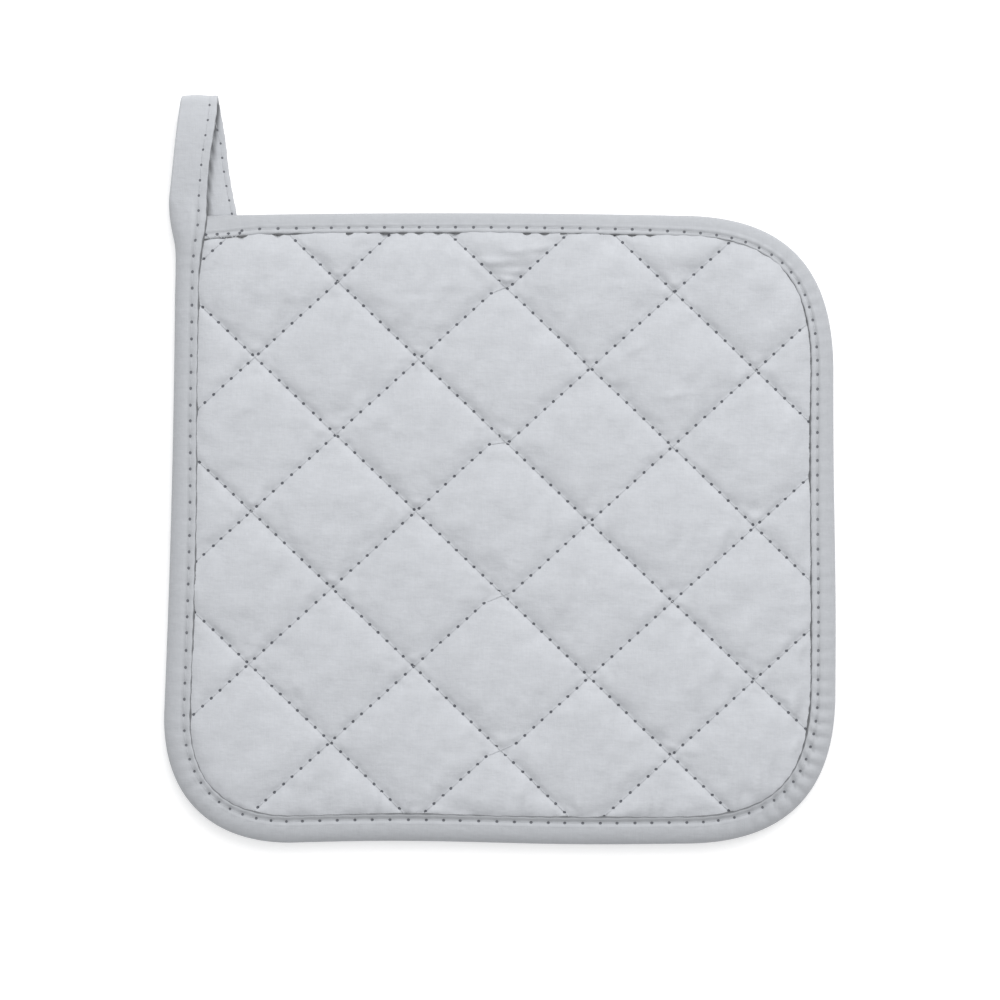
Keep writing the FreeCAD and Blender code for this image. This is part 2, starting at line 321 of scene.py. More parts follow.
def lattice_point(rising, falling):
    """XY of the crossing of two rows, given by number."""
    along_r, down_r = directions(RISING_ANGLE)
    along_f, down_f = directions(FALLING_ANGLE)
    solve = np.linalg.inv(np.array([down_r, down_f]))
    p = np.zeros(rising.shape + (2,))
    for _ in range(25):
        offsets = np.stack([
            row_offsets(RISING_ROWS, rising, p @ along_r, p[..., 0]),
            row_offsets(FALLING_ROWS, falling, p @ along_f, p[..., 0]),
        ], axis=-1)
        p = 0.3 * p + 0.7 * offsets @ solve.T
    return p


def crowded(low, high, steps):
    """Row numbers from low to high, closer together beside each whole number."""
    x = np.arange(low * steps, high * steps + 1) / steps
    return x - 0.4 * np.sin(2 * pi * x) / (2 * pi)


class Lattice:
    """The cover's grid, clipped to the pad's outline."""

    def __init__(self, steps, inset):
        rising = crowded(-1, len(RISING_ROWS) + 2, steps)
        falling = crowded(-1, len(FALLING_ROWS) + 2, steps)
        r, f = np.meshgrid(rising, falling, indexing="ij")
        points = lattice_point(r, f).reshape(-1, 2)
        columns = len(falling)
        index = np.arange(len(points)).reshape(len(rising), columns)
        cells = np.stack([index[:-1, :-1], index[1:, :-1], index[1:, 1:], index[:-1, 1:]], axis=-1)
        cells = cells.reshape(-1, 4)
        middle = points[cells].mean(1)
        keep = inside_outline(middle)
        distance, _ = edge_distance(middle[keep])
        cells = cells[keep][distance > inset]
        used, faces = np.unique(cells, return_inverse=True)
        self.xy = points[used]
        self.faces = faces.reshape(-1, 4)
        self.rising = r.reshape(-1)[used]
        self.falling = f.reshape(-1)[used]
        self.edge, self.place = edge_distance(self.xy)
        self.width = width_at(self.place)
        a, b, c = (self.xy[self.faces[0, k]] for k in range(3))
        if (b[0] - a[0]) * (c[1] - a[1]) - (b[1] - a[1]) * (c[0] - a[0]) < 0:
            self.faces = self.faces[:, ::-1]


def is_row(numbers, count):
    near = np.round(numbers)
    return (np.abs(numbers - near) < 1e-6) & (near >= 1) & (near <= count)


def row_gap(numbers, count):
    """Distance to the nearest row, as a share of the rows' spacing."""
    return np.abs(numbers - np.clip(np.round(numbers), 1, count))


def puff_shape(lattice):
    """0 at the rows and the binding, 1 in the middle of a diamond."""
    shares = [row_gap(lattice.rising, len(RISING_ROWS)), row_gap(lattice.falling, len(FALLING_ROWS))]
    rows = np.prod([np.sin(pi * np.clip(share, 0, 0.5)) ** 0.48 for share in shares], axis=0)
    return rows * np.clip((lattice.edge - lattice.width) / (7 * mm), 0, 1) ** 0.5


def vertex_normals(points, faces):
    across = points[faces[:, 2]] - points[faces[:, 0]]
    other = points[faces[:, 3]] - points[faces[:, 1]]
    face_normals = np.cross(across, other)
    normals = np.zeros_like(points)
    for corner in range(4):
        np.add.at(normals, faces[:, corner], face_normals)
    return normals / np.maximum(np.linalg.norm(normals, axis=1, keepdims=True), 1e-12)


def mesh_points(mesh):
    flat = np.empty(len(mesh.vertices) * 3)
    mesh.vertices.foreach_get("co", flat)
    return flat.reshape(-1, 3)


def mesh_quads(mesh):
    flat = np.empty(len(mesh.loops), np.int64)
    mesh.loops.foreach_get("vertex_index", flat)
    return flat.reshape(-1, 4)


def evaluated(piece):
    """A copy of the piece's mesh with its modifiers applied."""
    bpy.context.view_layer.update()
    return bpy.data.meshes.new_from_object(piece.evaluated_get(bpy.context.evaluated_depsgraph_get()))


def blown_up(points, faces, held, seed):
    """Cloth simulation: the cover is held at some points and the wadding pushes the rest out."""
    loose = ~held
    shaken = points.copy()
    shaken[:, 2] += loose * 0.15 * mm * np.random.default_rng(seed).uniform(-1, 1, len(points))
    piece = mesh_piece("cover_simulation", shaken * SIMULATION_SCALE, faces, [])
    group = piece.vertex_groups.new(name="held")
    group.add([int(i) for i in np.flatnonzero(held)], 1.0, "REPLACE")
    cloth = piece.modifiers.new("Cloth", "CLOTH")
    for name, value in CLOTH_SETTINGS.items():
        setattr(cloth.settings, name, value)
    cloth.settings.vertex_group_mass = "held"
    cloth.settings.effector_weights.gravity = 0
    cloth.collision_settings.use_collision = False
    cloth.collision_settings.use_self_collision = False
    cloth.point_cache.frame_start = 1
    cloth.point_cache.frame_end = SIMULATION_FRAMES
    for frame_number in range(1, SIMULATION_FRAMES + 1):
        bpy.context.scene.frame_set(frame_number)
    result = mesh_points(evaluated(piece)) / SIMULATION_SCALE
    bpy.data.objects.remove(piece)
    bpy.context.scene.frame_set(1)
    return result


def finer(points, faces):
    """One round of Catmull-Clark subdivision."""
    piece = mesh_piece("finer", points, faces, [])
    modifier = piece.modifiers.new("Subdivision", "SUBSURF")
    modifier.levels = 1
    mesh = evaluated(piece)
    bpy.data.objects.remove(piece)
    return mesh_points(mesh), mesh_quads(mesh)


def cloth_cover(seed):
    """The front cover's outer face, above MID_Z, as points and faces."""
    held_low = LATTICE.edge < LATTICE.width - 0.6 * mm
    rows = is_row(LATTICE.rising, len(RISING_ROWS)) | is_row(LATTICE.falling, len(FALLING_ROWS))
    puff = puff_shape(LATTICE)
    height = np.where(held_low, BORDER_Z, VALLEY_Z)
    start = np.column_stack([LATTICE.xy, height + 0.9 * PUFF * puff])
    points = blown_up(start, LATTICE.faces, held_low | rows, seed)
    room = FACE_Z - 0.1 * mm - VALLEY_Z
    over = np.clip(points[:, 2] - VALLEY_Z, 0, None)
    points[:, 2] += room * np.tanh(over / room) - over
    return finer(points, LATTICE.faces)


# Creases in the front cover that don't come from the puffing: x, y, direction in degrees,
# half length, half width and height (below 0 for a groove), in millimetres
CREASES = [
    (-1.3, 68.6, 0, 5, 0.7, 1.1), (4.6, 72.1, -3, 3.4, 0.7, 0.85), (12.7, 73.1, 0, 3.2, 0.7, 0.9),
    (5, 65.3, 4, 4, 0.8, 0.45), (1.6, 62.7, 0, 2.8, 0.8, 0.6), (-28.7, 57.9, 2, 6, 1, -0.5),
    (-17.5, 60.5, 0, 3, 0.9, 0.45), (-22, -1, -55, 4.5, 1.3, 0.45), (6.4, 25.3, 0, 3, 0.9, 0.4),
    (17.3, -17.2, 88, 6.3, 1.69, -0.54), (4.2, -32.3, -28, 3.4, 0.8, 0.36),
    (4.8, -75.6, -42, 7.5, 1.1, 0.5), (-20.6, -104, -62, 3, 1.05, 0.62),
    (-8, -109.5, 88, 3.2, 1.05, 0.57), (-3.4, -110.6, 92, 2.8, 1.05, 0.46),
    (-0.2, -108.4, 90, 4.6, 1.17, 0.62), (6.8, -109, 86, 3.7, 1.05, 0.46),
    (9.7, -110.8, 90, 2.3, 1.05, 0.49), (34.4, -101, 88, 5.3, 1.3, 0.54),
    (45, -111.6, 84, 2.3, 1.05, 0.54), (49.2, -110.2, 90, 3.9, 1.05, 0.93),
    (52.8, -110.6, 88, 3.2, 1.05, 0.7), (85, -104.2, 86, 4.8, 1.17, 0.98),
    (90.4, -101, 82, 5.3, 1.69, -0.7), (97.5, -91, 60, 3.4, 1.3, 0.62),
    (64.9, -72, 92, 4.8, 1.56, 0.49), (57, 24.4, 8, 5.6, 0.9, 0.54), (62, 31.4, -25, 2.6, 0.9, 0.4),
    (44.5, 39.6, 20, 3, 1.1, 0.4), (-62, -40, 80, 5.8, 1.82, 0.41), (-40.5, -109, 90, 3.9, 1.05, 0.62),
    (-57, -107.5, 88, 3.4, 1.05, 0.54), (22, -44, 86, 4.6, 1.69, 0.41),
    (74, -28, 70, 5.1, 1.69, -0.41), (-84, 20, 15, 4, 1.2, 0.36), (-70, 58, -35, 5, 1.4, 0.4),
    (38, 61, 4, 4.2, 1.1, 0.36), (98.5, -62, 84, 6.9, 1.56, 0.57), (97, -78, 76, 5.8, 1.43, 0.63),
    (78, -108, 92, 3, 1.05, 0.57), (17.6, -110.6, 94, 3, 1.05, 0.57), (26, -111, 88, 2.5, 1.05, 0.52),
    (-30.5, -110.4, 86, 3, 1.05, 0.57),
]


def crossing_folds(seed):
    """The small fold over each crossing of two rows, where the corner of a diamond curls down."""
    random = np.random.default_rng(seed)
    folds = []
    for rising in range(1, len(RISING_ROWS) + 1):
        for falling in range(1, len(FALLING_ROWS) + 1):
            x, y = lattice_point(np.array([float(rising)]), np.array([float(falling)]))[0] / mm
            folds.append((x, y + 2.7, random.uniform(-12, 12), 1.9, 1.1, random.uniform(0.20, 0.65)))
    return folds


def random_creases(count, seed):
    """Creases for the back cover, laid out like CREASES."""
    random = np.random.default_rng(seed)
    ranges = [(-90, 90), (-100, 65), (0, 180), (2.5, 6), (0.9, 1.5), (-0.35, 0.45)]
    return [tuple(random.uniform(low, high) for low, high in ranges) for _ in range(count)]


def crease_height(points, creases):
    total = np.zeros(len(points))
    for x, y, degrees, length, width, height in creases:
        turn = radians(degrees)
        dx, dy = points[:, 0] - x * mm, points[:, 1] - y * mm
        along = dx * cos(turn) + dy * sin(turn)
        across = dy * cos(turn) - dx * sin(turn)
        bend = 0.04 * along ** 2 / (length * mm)
        spread = -(along / (length * mm)) ** 2 - ((across - bend) / (width * mm)) ** 2
        total += height * mm * np.exp(spread)
    return total


def wrinkle_height(points, seed):
    """Soft wrinkles all over a cover, a little longer up and down than across."""
    place = points[:, :2] * (1.2, 0.9)
    return 0.42 * mm * noise(place, 8 * mm, seed + 50) + 0.26 * mm * noise(place, 4 * mm, seed + 51)


def fall_right(height, points, which):
    """How steeply a height function falls towards +X, at most 1 either way."""
    step = np.array([0.3 * mm, 0, 0])
    return np.clip((height(points - step, which) - height(points + step, which)) / (2 * step[0]), -1, 1)


def crease_shades(points, creases, seed):
    """Painted shade where creases and wrinkles fall to the right, and a painted highlight on their other
    side.
    """
    fall = fall_right(crease_height, points, creases)
    return np.where(fall > 0, 0.26, 0.13) * fall + 0.26 * fall_right(wrinkle_height, points, seed)


# --- needle holes along the rows ---

def along_row(number, rows, rising):
    """A row's visible line over the cover, as dense XY points from left to right."""
    t = np.linspace(-9, 16, 5001)
    numbers = np.full(t.shape, float(number))
    line = lattice_point(numbers, t) if rising else lattice_point(t, numbers)
    line = line[inside_outline(line)]
    distance, place = edge_distance(line)
    line = line[distance > width_at(place) - 4.0 * mm]
    return line if line[0, 0] < line[-1, 0] else line[::-1]


def spaced(line, pitch, jitter, seed):
    """Points along a line at about the given pitch."""
    random = np.random.default_rng(seed)
    steps = np.linalg.norm(np.diff(line, axis=0), axis=1)
    s = np.concatenate([[0], np.cumsum(steps)])
    count = int(s[-1] / pitch)
    places = (np.arange(count) + random.uniform(0.3, 0.9)) * pitch
    places += random.normal(0, jitter, count) * pitch
    return np.stack([np.interp(places, s, line[:, k]) for k in range(line.shape[1])], axis=1)


def quilting_holes():
    """For each row name, the XY of its needle holes."""
    holes = {}
    for kind, rows, rising in (("rising", RISING_ROWS, True), ("falling", FALLING_ROWS, False)):
        for number in range(1, len(rows) + 1):
            line = along_row(number, rows, rising)
            places = spaced(line, QUILT_STITCH, 0.045, 100 * rising + number)
            stepping = (places[:, 0] > STEP_LOW) & (places[:, 0] < STEP_HIGH) & (rows[number - 1, 2] > 0)
            holes[f"{kind}_row_{number}"] = places[~stepping]
    return holes


def hole_distance(points, holes):
    tree = KDTree(len(holes))
    for i, hole in enumerate(holes):
        tree.insert((hole[0], hole[1], 0), i)
    tree.balance()
    return np.array([tree.find((p[0], p[1], 0))[2] for p in points])


class Surface:
    """A mesh seen from above (side 1) or below (side -1)."""

    def __init__(self, points, faces, side):
        self.tree = BVHTree.FromPolygons([tuple(p) for p in points], [tuple(f) for f in faces])
        self.side = side

    def at(self, x, y):
        hit, normal, _, _ = self.tree.ray_cast((x, y, 0.1 * self.side), (0, 0, -self.side))
        if hit is None:
            return None, None
        normal = np.array(normal)
        return np.array(hit), normal * (1 if normal[2] * self.side > 0 else -1)


# --- stitches ---

class Parts:
    """Quads gathered for one mesh, each with a material number."""

    def __init__(self):
        self.points = []
        self.faces = []
        self.kinds = []

    def grid(self, rings, kind):
        """Join rings of points, each closed on itself."""
        rows, columns, _ = rings.shape
        start = sum(len(p) for p in self.points)
        self.points.append(rings.reshape(-1, 3))
        i, j = np.meshgrid(np.arange(rows - 1), np.arange(columns), indexing="ij")
        ahead = (j + 1) % columns
        quads = np.stack([i * columns + j, i * columns + ahead,
                          (i + 1) * columns + ahead, (i + 1) * columns + j], axis=-1)
        self.faces.append(quads.reshape(-1, 4) + start)
        self.kinds.append(np.full(quads.shape[0] * quads.shape[1], kind))

    def piece(self, name, materials):
        return mesh_piece(name, np.concatenate(self.points), np.concatenate(self.faces),
                          materials, face_material=np.concatenate(self.kinds))


def thread_tube(parts, path, normals, radius, sides=7):
    """A round thread along a path; its end rings are drawn in to close it."""
    along = np.gradient(path, axis=0)
    along /= np.linalg.norm(along, axis=1, keepdims=True)
    across = np.cross(along, normals)
    across /= np.linalg.norm(across, axis=1, keepdims=True)
    up = np.cross(across, along)
    angle = np.arange(sides) * 2 * pi / sides
    size = np.full(len(path), radius)
    size[[0, -1]] = radius * 0.05
    spokes = across[:, None] * np.cos(angle)[None, :, None] + up[:, None] * np.sin(angle)[None, :, None]
    parts.grid(path[:, None] + size[:, None, None] * spokes, 0)


# a stitch's points as shares of the way to the next hole, and their height over the cloth
STITCH_T = np.array([0.09, 0.12, 0.17, 0.26, 0.42, 0.58, 0.74, 0.83, 0.88, 0.91])
STITCH_RISE = np.array([-0.35, -0.12, 0.0, 0.04, 0.05, 0.05, 0.04, 0.0, -0.12, -0.35]) * mm
SUNK = 0.10 * mm                # the tape's stitches bed into it
PIT_RINGS = [(1.0, 0.05 * mm), (0.6, 0.08 * mm), (0.06, 0.09 * mm)]    # share of the radius, lift
PIT_ANGLES = np.arange(10) * 2 * pi / 10


def cover_stitches(name, holes, surface):
    """The thread and needle holes of one quilting row on a cover; each hole is a small cup in painted
    shade.
    """
    parts = Parts()
    side = surface.side
    for start, end in zip(holes[:-1], holes[1:]):
        path, normals = [], []
        for t, rise in zip(STITCH_T, STITCH_RISE):
            place, normal = surface.at(*(start + (end - start) * t))
            if place is None:
                break
            path.append(place + normal * rise)
            normals.append(normal)
        if len(path) == len(STITCH_T):
            thread_tube(parts, np.array(path), np.array(normals), THREAD)
    for hole, step in zip(holes, np.gradient(holes, axis=0)):
        along = step / np.linalg.norm(step)
        across = np.array([-along[1], along[0]])
        rings = []
        for share, lift in PIT_RINGS:
            for angle in PIT_ANGLES:
                x, y = hole + PIT * share * (1.25 * cos(angle) * along + sin(angle) * across)
                place, _ = surface.at(x, y)
                if place is not None:
                    rings.append(place + [0, 0, lift * side])
        if len(rings) == len(PIT_RINGS) * len(PIT_ANGLES):
            parts.grid(np.array(rings).reshape(len(PIT_RINGS), len(PIT_ANGLES), 3), 1)
    return parts.piece(name, [THREAD_LOOK, PIT_SHADE_LOOK])


# --- tape: binding round the pad, then folded flat into the hanging loop ---

def curve(at, stations, values):
    """Smooth curve through values at stations."""
    stations, values = np.asarray(stations, float), np.asarray(values, float)
    slopes = np.gradient(values, stations)
    i = np.clip(np.searchsorted(stations, at) - 1, 0, len(stations) - 2)
    h = stations[i + 1] - stations[i]
    t = np.clip((at - stations[i]) / h, 0, 1)
    return ((1 + 2 * t) * (1 - t) ** 2 * values[i] + t * (1 - t) ** 2 * h * slopes[i]
            + t * t * (3 - 2 * t) * values[i + 1] + t * t * (t - 1) * h * slopes[i + 1])


# Strand stations from the left side, up round the crease and down behind, in millimetres:
# y, height above the middle plane, left edge, right edge, half thickness
STRAND = np.array([
    (58, 0, -107, -99.5, 2.4), (66, 0, -107.2, -99.3, 2.5), (74, 0, -107.4, -98.4, 2.8),
    (80, 0, -108.6, -97.3, 2.9), (84.5, 0.2, -109.2, -96.9, 2.3), (89, 0.9, -109.3, -96.9, 1.3),
    (95, 2.1, -108.6, -96.5, 0.8), (104, 3.1, -107.6, -95.6, 0.75), (113, 3, -106.6, -94.2, 0.75),
    (119.4, 2, -105.8, -93.4, 0.75), (122.3, 1.1, -105.4, -93.3, 0.75), (123, 0, -105.2, -93.2, 0.75),
    (122.3, -1.1, -105.1, -93.1, 0.75), (118.4, -2.4, -104.5, -92.5, 0.75),
    (110, -3.3, -103.5, -91.1, 0.75), (100, -3.7, -102.3, -90, 0.75), (92, -3.6, -101.1, -88.7, 0.75),
    (86, -3.4, -99.9, -87.5, 0.75), (80, -3.3, -98.9, -86.5, 0.75), (75.5, -3.3, -98.3, -86, 0.75),
], dtype=float)

# the section's points: round the rolled edge, on the belly and near the inner edge
ARC_STEPS = 8
BELLY_STEPS = 6
SETBACK_STEPS = np.array([0, 0.12, 0.35, 0.7, 1.05, 1.4, 1.75, 2.1, 2.5, 3.0]) * mm
BEND_COLUMNS = (len(SETBACK_STEPS) + 2, len(SETBACK_STEPS) + 2 * BELLY_STEPS + 2 * ARC_STEPS + 5)


class Tape:
    """The folded tape as frames along its length s.

    Each frame has the outer edge's place, the inward and front directions, the width and half
    the thickness.
    """

    def __init__(self):
        left_s = OUTLINE_S[OUTLINE_S > 0.8 * PERIMETER]
        self.turn_s = np.interp(STRAND[0, 0] * mm, at_outline(left_s)[0][:, 1], left_s)
        border_s = np.arange(1.5 * mm, self.turn_s, 0.9 * mm)
        place, inward = at_outline(border_s)
        zero = np.zeros(len(border_s))
        left = np.column_stack([place, zero + MID_Z])
        width = width_at(border_s)
        right = left + np.column_stack([inward, zero]) * width[:, None]
        half = zero + BINDING_HALF

        table = STRAND.copy()
        start, _ = at_outline(self.turn_s)
        table[0, 2] = start[0] / mm
        table[0, 3] = (start[0] + width_at(self.turn_s)) / mm
        table[:, 1] += MID_Z / mm
        table *= mm
        chords = np.hypot(np.diff(table[:, 0]), np.diff(table[:, 1]))
        stations = np.concatenate([[0], np.cumsum(chords)])
        q = np.arange(0, stations[-1], 0.7 * mm)
        y, z, x_left, x_right, strand_half = (curve(q, stations, table[:, k]) for k in range(5))
        self.s = np.concatenate([border_s, self.turn_s + q])
        self.left = np.concatenate([left, np.column_stack([x_left, y, z])])
        self.right = np.concatenate([right, np.column_stack([x_right, y, z])])
        self.half = np.concatenate([half, strand_half])
        self.fold_s = self.turn_s + stations[11]
        centre = (self.left + self.right) / 2
        along = np.gradient(centre, axis=0)
        along /= np.linalg.norm(along, axis=1, keepdims=True)
        inward = self.right - self.left
        self.width = np.linalg.norm(inward, axis=1)
        self.inward = inward / self.width[:, None]
        front = np.cross(self.inward, along)
        self.front = front / np.linalg.norm(front, axis=1, keepdims=True)
        self.end_s = self.s[-1]
        self.holes = self.stitch_places()

    def stitch_places(self):
        """Needle holes along the tape, a little closer together on the loop."""
        random = np.random.default_rng(11)
        places = [ROW_START]
        while places[-1] < self.end_s - 13 * mm:
            pitch = by_share(places[-1], PITCHES)
            places.append(places[-1] + pitch * (1 + random.normal(0, 0.03)))
        return np.array(places)

    def edge_dips(self):
        """Places on the upper side's inner edge where the tape's stitches draw the cover down."""
        s = self.holes[self.gap_strength(self.holes) > 0.5]
        left, inward, _, width, _ = self.at(s)
        return (left + inward * (width + 0.4 * mm)[:, None])[:, :2]

    def row_setback(self, s):
        """Distance from the tape's inner edge to its stitches."""
        return by_share(s, ROW_SETBACKS)

    def at(self, s):
        pick = lambda values: np.stack([np.interp(s, self.s, values[:, k]) for k in range(3)], axis=-1)
        return (pick(self.left), pick(self.inward), pick(self.front),
                np.interp(s, self.s, self.width), np.interp(s, self.s, self.half))

    def profile(self, s, setback, width, half, roll, side):
        """Height of the tape's outer face at a distance from its inner edge."""
        soft = np.clip(half / BINDING_HALF, 0.35, 1)
        nearest = np.min(np.abs(s[..., None] - self.holes), axis=-1)
        hole = np.exp(-(nearest / (0.9 * mm)) ** 2)
        row = self.row_setback(s)
        margin = by_share(s, MARGIN_TILT) * mm * np.clip(1 - setback / row, 0, 1)
        fold = -0.42 * mm * (1 - np.clip(setback / (0.6 * mm), 0, 1)) ** 2
        valley = -0.32 * mm * np.exp(-((setback - row) / (0.75 * mm)) ** 2) * (0.6 + 0.7 * hole)
        share = np.clip((setback - row) / np.maximum(width - roll - row, 1e-6), 0, 1)
        belly = 0.08 * (width - roll - row) * np.sin(pi * share) ** 2
        wave = np.cos(2 * pi * self.fold_number(s, setback))
        gather = -(0.05 + 0.16 * self.corner_share(s)) * mm * wave
        gather = gather * np.exp(-((setback - 1.6 * mm) / (2.4 * mm)) ** 2)
        gather = gather - 0.40 * mm * self.slit(s, setback)
        field = np.stack([s + 0.7 * setback, setback * 0.5 + side * 0.05 + 0 * s], axis=-1)
        ripple = 0.09 * mm * noise(field, 6 * mm, 21) + 0.05 * mm * noise(field, 2.2 * mm, 22)
        ripple = ripple * np.clip(setback / (1.5 * mm), 0.2, 1)
        return half + soft * (fold + valley + margin + belly + gather + ripple)

    def hole_number(self, s):
        """Whole at the needle holes."""
        return np.interp(s, self.holes, np.arange(len(self.holes)))

    def fold_number(self, s, setback):
        """Whole at the folds from the stitches to the outer edge, which slant at the corners."""
        return self.hole_number(s) - 0.09 * self.corner_share(s) * (setback - self.row_setback(s)) / mm

    def slit(self, s, setback):
        """1 in the deepest folds, beside the stitches of the most gathered corner."""
        number = self.fold_number(s, setback)
        narrow = np.exp(-((number - np.round(number)) / 0.16) ** 2)
        reach = np.exp(-((setback - self.row_setback(s) - 0.9 * mm) / (1.5 * mm)) ** 2)
        return np.clip(self.corner_share(s) / 1.7, 0, 1) ** 1.5 * narrow * reach

    def corner_share(self, s):
        """How strongly the stitches gather the tape: most at the lower right corner."""
        share = s / PERIMETER
        return sum(most * np.exp(-((share - middle) / 0.045) ** 2)
                   for middle, most in ((0.26, 0.6), (0.48, 1.7), (0.75, 0.9)))

    def roll_at(self, half, width):
        full = np.minimum(ROLL, width - SETBACK_STEPS[-1] - 0.2 * mm)
        return 0.8 * mm + (full - 0.8 * mm) * smoothstep((half - 0.75 * mm) / (BINDING_HALF - 0.75 * mm))

    def face_setbacks(self):
        """Distance from the inner edge of each column of the face, up to where the edge rolls over."""
        belly_end = self.width - self.roll_at(self.half, self.width)
        flat = np.repeat(SETBACK_STEPS[:, None], len(self.s), axis=1)
        steps = np.arange(1, BELLY_STEPS + 1)[:, None] / BELLY_STEPS
        return np.concatenate([flat, SETBACK_STEPS[-1] + (belly_end - SETBACK_STEPS[-1]) * steps])

    def rings(self):
        """The tape's section at every frame: outer face from front to back, then inner face back."""
        s, width, half = self.s, self.width, self.half
        roll = self.roll_at(half, width)
        cloth = np.minimum(TAPE, half - 0.1 * mm)
        scallop = 0.10 * mm * np.cos(2 * pi * self.hole_number(s))
        section = []
        for side in (1, -1):
            face = []
            for column, setback in enumerate(self.face_setbacks()):
                edge_move = scallop * np.clip(1 - setback / (1.5 * mm), 0, 1)
                n = width - setback - edge_move
                z = side * self.profile(s, setback, width, half, roll, side)
                thickness = np.minimum(cloth, 0.25 * mm) if column == 0 else cloth
                face.append((n, z, n, z - side * thickness))
            corner_z = np.abs(face[-1][1])
            for step in range(1, ARC_STEPS):
                a = pi / 2 * (1 - step / ARC_STEPS)
                face.append((roll * (1 - cos(a)), side * corner_z * sin(a),
                             roll - (roll - cloth) * cos(a), side * (corner_z - cloth) * sin(a)))
            section += face + [(0 * roll, 0 * roll, cloth, 0 * roll)] if side == 1 else face[::-1]
        outer_n, outer_z, inner_n, inner_z = (list(column) for column in zip(*section))
        (tip_n, under_n), (tip_z, under_z) = self.lip(width, half)
        n = np.stack(outer_n + [tip_n, under_n] + inner_n[::-1] + [under_n, tip_n], axis=1)
        z = np.stack(outer_z + [-tip_z, -under_z] + inner_z[::-1] + [under_z, tip_z], axis=1)
        inward, front = self.inward[:, None], self.front[:, None]
        return self.left[:, None] + inward * n[..., None] + front * z[..., None]

    def lip(self, width, half):
        """Top and underside of the turned-under edge, a thin line in painted shade inside the fold."""
        share = smoothstep((half - 0.9 * mm) / (1.2 * mm))
        reach, gap = self.lip_reach()
        reach = reach * share
        top = half - 0.3 * mm + (0.55 * mm * gap - 0.2 * mm) * share
        low = half - 0.5 * mm - 0.5 * mm * share
        return (width + reach, width + reach - 0.1 * mm), (top, low)

    def lip_reach(self):
        """How far the lip shows, and its short gaps, dark with painted shade, where a stitch draws the
        tape off the cover.
        """
        nearest = np.min(np.abs(self.s[:, None] - self.holes), axis=1)
        gap = np.exp(-(nearest / (1.1 * mm)) ** 2)
        wander = 0.10 * mm * line_noise(self.s, 5 * mm, 31)
        gap = gap * self.gap_strength(self.s)
        return by_share(self.s, LIP_REACH) + 0.35 * mm * gap + wander, gap

    def gap_strength(self, s):
        """How far the tape stands off the cover at the stitches: uneven, most on the upper side."""
        return by_share(s, GAP_STRENGTH) * np.clip(0.6 + 0.9 * line_noise(s, 7 * mm, 32), 0.05, 1.15)

    def outer(self, s, setback, side):
        """Point and outward direction on the front (side 1) or back (side -1) face."""
        left, inward, front, width, half = self.at(s)
        height = side * self.profile(s, setback, width, half, self.roll_at(half, width), side)
        return left + inward * (width - setback)[..., None] + front * height[..., None], front * side

    def piece(self, name, materials):
        rings = self.rings()
        parts = Parts()
        parts.grid(rings, 0)
        columns = rings.shape[1]
        outer = columns // 2 - 2
        k = np.arange(outer - 1)
        cap = np.concatenate([
            np.stack([k, k + 1, columns - 4 - k, columns - 3 - k], axis=1),
            [[columns - 1, 0, columns - 3, columns - 2], [outer - 1, outer, outer + 1, outer + 2]],
        ])
        last = (len(rings) - 1) * columns
        for faces in (cap, cap[:, ::-1] + last):
            parts.faces.append(faces)
            parts.kinds.append(np.zeros(len(faces), int))
        piece = parts.piece(name, materials)
        self.tree = BVHTree.FromPolygons([tuple(p) for p in rings.reshape(-1, 3)],
                                         [tuple(f) for f in np.concatenate(parts.faces)])
        write_shade(piece, self.shade(rings, outer).ravel())
        outward_faces(piece)
        return piece

    def shade(self, rings, outer):
        """Painted shade at every point: at the inner edge and lip, beside the stitches, in narrow folds,
        on the rolled edge and under the front strand.
        """
        columns = rings.shape[1]
        shade = np.zeros(rings.shape[:2])
        open_share = smoothstep((self.half - 0.9 * mm) / (1.2 * mm))[:, None]
        # painted shade: the crevice along the inner edge and the turned-under lip
        shade[:, [0, outer - 1]] = 0.25 + 0.55 * open_share
        shade[:, [outer, outer + 1, columns - 2, columns - 1]] = 0.3 + 0.7 * open_share
        # painted shade in the groove by the inner edge, beside the stitches and in the corner's slits
        groove = by_share(self.s, GROOVE_SHADE)
        painted_stitch_shade = by_share(self.s, STITCH_SHADE)
        for column, setback in enumerate(self.face_setbacks()):
            soft = groove * smoothstep(1.5 - setback / (1.1 * mm)) * open_share[:, 0]
            beside = np.exp(-((setback - self.row_setback(self.s) - 0.35 * mm) / (0.8 * mm)) ** 2)
            soft = np.maximum(soft, painted_stitch_shade * beside * open_share[:, 0])
            soft = np.maximum(soft, 0.45 * self.slit(self.s, setback))
            for at in (column, outer - 1 - column):
                shade[:, at] = np.maximum(shade[:, at], soft)
        # painted shade on the rolled outer edge, strongest in the middle of its bend
        rolled = by_share(self.s, ROLLED_SHADE)
        bend = (np.arange(outer) - BEND_COLUMNS[0]) / (BEND_COLUMNS[1] - BEND_COLUMNS[0])
        bend = 0.25 + 0.75 * smoothstep(4 * np.minimum(bend, 1 - bend))
        rolled = rolled[:, None] * bend * open_share
        shade[:, :outer] = np.maximum(shade[:, :outer], rolled)
        return np.maximum(shade, self.painted_shade_under_front(rings))

    def painted_shade_under_front(self, rings):
        """Painted shade on the rear strand close to the front strand's edge, which lies over it."""
        front = STRAND[4:12] * mm
        edge = np.interp(rings[..., 1], front[:, 0], front[:, 3])
        rear = smoothstep((self.s - self.fold_s - 1 * mm) / (2 * mm))[:, None]
        upper = rings[..., 2] > (self.left[:, None, 2] + self.right[:, None, 2]) / 2
        return 0.9 * rear * upper * np.exp(-((rings[..., 0] - edge) / (0.9 * mm)) ** 2)

    def seated(self, place, out):
        """Points brought onto the tape's mesh along their outward directions."""
        found = []
        for point, away in zip(place, out):
            hit = self.tree.ray_cast(Vector(point + mm * away), Vector(-away), 2 * mm)[0]
            found.append(point if hit is None else tuple(hit))
        return np.array(found)

